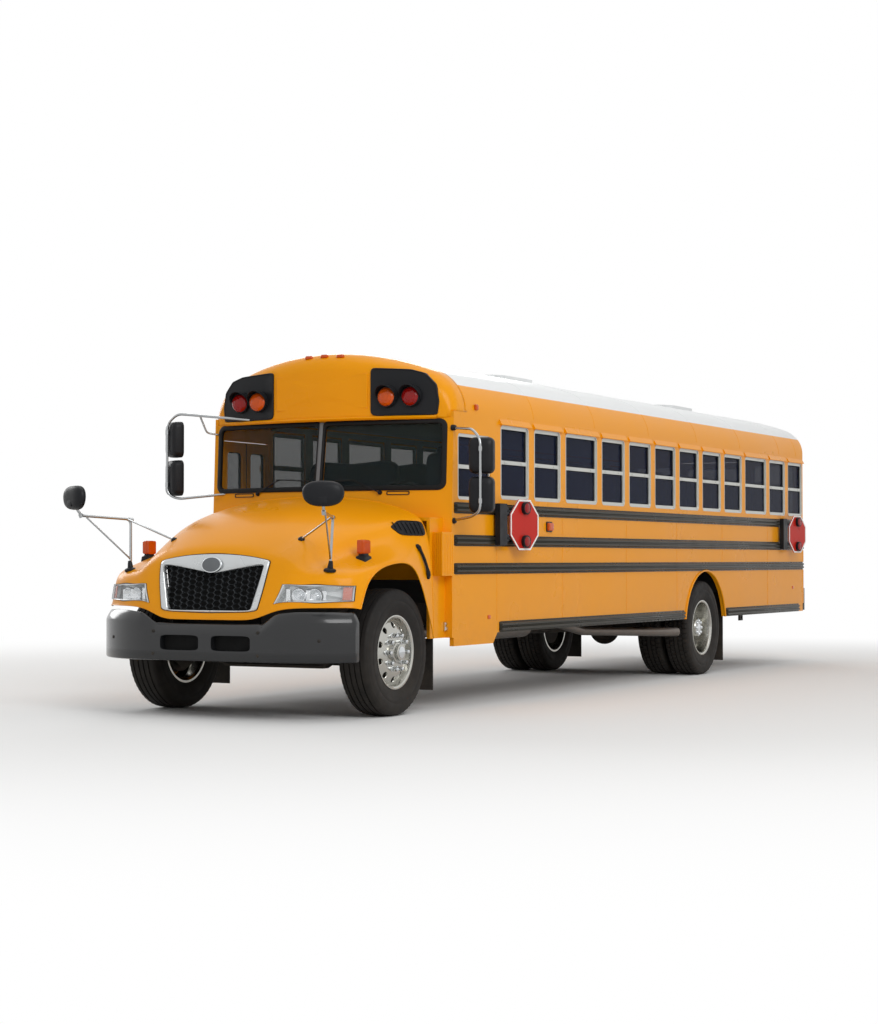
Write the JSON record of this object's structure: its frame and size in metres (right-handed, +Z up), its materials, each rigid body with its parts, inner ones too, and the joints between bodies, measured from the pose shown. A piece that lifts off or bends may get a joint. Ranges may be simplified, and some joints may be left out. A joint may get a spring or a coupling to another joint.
{
  "type": "school bus",
  "caption": "School bus with a tilting bonnet, folding entrance door, rear emergency door, roof hatches, swing-out stop arms and steered front wheels.",
  "frame": {"origin": "on the ground under the middle of the bounding box", "axes": "+X forward, +Y to the bus's left, +Z up"},
  "size_m": [11.871, 3.28, 3.127],
  "materials": {
    "yellow_paint": "gloss",
    "white_paint": "gloss",
    "black_paint": "gloss",
    "chassis_paint": "satin",
    "black_plastic": "matte",
    "tinted_glass": "gloss",
    "clear_glass": "gloss",
    "lamp_lens": "gloss",
    "bare_aluminium": "satin",
    "bright_chrome": "gloss",
    "silver_plastic": "satin",
    "tyre_rubber": "matte",
    "flap_rubber": "matte",
    "cast_iron": "matte",
    "spring_steel": "satin",
    "floor_lining": "matte",
    "seat_vinyl": "satin",
    "red_paint": "gloss",
    "red_lens": "gloss"
  },
  "bodies": {
    "body": {"chassis_frame": "chassis_paint", "front_axle": "cast_iron", "rear_axle": "cast_iron", "leaf_springs": "spring_steel", "engine_block": "cast_iron", "driveshaft": "chassis_paint", "radiator": "bare_aluminium", "fuel_tank": "chassis_paint", "exhaust": "spring_steel", "front_bumper": "black_paint", "rear_bumper": "black_paint", "mud_flaps": "flap_rubber", "floor": "floor_lining", "entrance_steps": "floor_lining", "left_side_wall": "yellow_paint", "right_side_wall": "yellow_paint", "roof": "white_paint", "front_cap": "yellow_paint", "cowl": "yellow_paint", "rear_wall": "yellow_paint", "windscreen": "clear_glass", "side_window_frames": "bare_aluminium", "window_glass": "tinted_glass", "rub_rails": "black_paint", "side_mirrors": "black_plastic", "stop_arm_housings": "black_plastic", "lamps": "lamp_lens", "passenger_seats": "seat_vinyl", "driver_seat": "seat_vinyl", "dashboard": "black_plastic"},
    "hood": {"hood": "yellow_paint", "grille_surround": "silver_plastic", "grille_mesh": "black_plastic", "headlamps": "lamp_lens", "crossview_mirrors": "black_plastic"},
    "entrance_front_leaf": {"entrance_front_leaf": "yellow_paint", "entrance_front_glass": "tinted_glass"},
    "entrance_rear_leaf": {"entrance_rear_leaf": "yellow_paint", "entrance_rear_glass": "tinted_glass"},
    "rear_door": {"rear_door": "yellow_paint", "rear_door_glass": "tinted_glass"},
    "front_stop_arm": {"front_stop_arm": "red_paint"},
    "rear_stop_arm": {"rear_stop_arm": "red_paint"},
    "front_roof_hatch": {"front_roof_hatch": "white_paint"},
    "rear_roof_hatch": {"rear_roof_hatch": "white_paint"},
    "tie_rod": {"tie_rod": "chassis_paint"},
    "steering_wheel": {"steering_wheel": "black_plastic"},
    "left_knuckle": {"left_knuckle": "cast_iron"},
    "right_knuckle": {"right_knuckle": "cast_iron"},
    "left_front_wheel": {"left_front_tyre": "tyre_rubber", "left_front_wheel": "bare_aluminium"},
    "left_rear_wheel": {"left_rear_tyres": "tyre_rubber", "left_rear_wheels": "bare_aluminium"},
    "right_front_wheel": {"right_front_tyre": "tyre_rubber", "right_front_wheel": "bare_aluminium"},
    "right_rear_wheel": {"right_rear_tyres": "tyre_rubber", "right_rear_wheels": "bare_aluminium"}
  },
  "joints": [
    {"name": "steer_left", "type": "hinge", "parent": "body", "child": "left_knuckle", "pos_m": [4.6105, 0.84, 0.52], "axis": [0, 0, 1], "range_deg": [-38, 38]},
    {"name": "steer_right", "type": "hinge", "parent": "body", "child": "right_knuckle", "pos_m": [4.6105, -0.84, 0.52], "axis": [0, 0, 1], "range_deg": [-38, 38]},
    {"name": "tie_rod_pivot", "type": "hinge", "parent": "left_knuckle", "child": "tie_rod", "pos_m": [4.3805, 0.84, 0.401], "axis": [0, 0, 1], "range_deg": [-38, 38]},
    {"name": "steering_wheel_turn", "type": "hinge", "parent": "body", "child": "steering_wheel", "pos_m": [3.4305, 0.64, 1.83], "axis": [-0.5, 0, 0.866], "range_deg": [-684, 684]},
    {"name": "left_front_wheel_spin", "type": "hinge", "parent": "left_knuckle", "child": "left_front_wheel", "pos_m": [4.6105, 1.03, 0.52], "axis": [0, 1, 0], "continuous": true},
    {"name": "right_front_wheel_spin", "type": "hinge", "parent": "right_knuckle", "child": "right_front_wheel", "pos_m": [4.6105, -1.03, 0.52], "axis": [0, 1, 0], "continuous": true},
    {"name": "left_rear_wheel_spin", "type": "hinge", "parent": "body", "child": "left_rear_wheel", "pos_m": [-2.3235, 0.9, 0.52], "axis": [0, 1, 0], "continuous": true},
    {"name": "right_rear_wheel_spin", "type": "hinge", "parent": "body", "child": "right_rear_wheel", "pos_m": [-2.3235, -0.9, 0.52], "axis": [0, 1, 0], "continuous": true},
    {"name": "hood_tilt", "type": "hinge", "parent": "body", "child": "hood", "pos_m": [5.5705, 0, 0.86], "axis": [0, 1, 0], "range_deg": [0, 68]},
    {"name": "entrance_front_swing", "type": "hinge", "parent": "body", "child": "entrance_front_leaf", "pos_m": [3.6465, -1.238, 1.405], "axis": [0, 0, 1], "range_deg": [0, 88]},
    {"name": "entrance_rear_swing", "type": "hinge", "parent": "body", "child": "entrance_rear_leaf", "pos_m": [2.8945, -1.238, 1.405], "axis": [0, 0, -1], "range_deg": [0, 88]},
    {"name": "rear_door_swing", "type": "hinge", "parent": "body", "child": "rear_door", "pos_m": [-5.8585, -0.426, 1.8], "axis": [0, 0, 1], "range_deg": [0, 100]},
    {"name": "front_stop_arm_swing", "type": "hinge", "parent": "body", "child": "front_stop_arm", "pos_m": [2.8105, 1.282, 1.586], "axis": [0, 0, -1], "range_deg": [0, 82]},
    {"name": "rear_stop_arm_swing", "type": "hinge", "parent": "body", "child": "rear_stop_arm", "pos_m": [-4.9795, 1.282, 1.586], "axis": [0, 0, -1], "range_deg": [0, 82]},
    {"name": "front_hatch_lift", "type": "hinge", "parent": "body", "child": "front_roof_hatch", "pos_m": [0.8845, 0, 3.106], "axis": [0, 1, 0], "range_deg": [0, 75]},
    {"name": "rear_hatch_lift", "type": "hinge", "parent": "body", "child": "rear_roof_hatch", "pos_m": [-3.6505, 0, 3.106], "axis": [0, 1, 0], "range_deg": [0, 75]}
  ],
  "couplings": [
    {"joint": "steer_right", "follows": "steer_left", "ratio": 1},
    {"joint": "tie_rod_pivot", "follows": "steer_left", "ratio": -1},
    {"joint": "steering_wheel_turn", "follows": "steer_left", "ratio": 18},
    {"joint": "entrance_rear_swing", "follows": "entrance_front_swing", "ratio": 1}
  ]
}
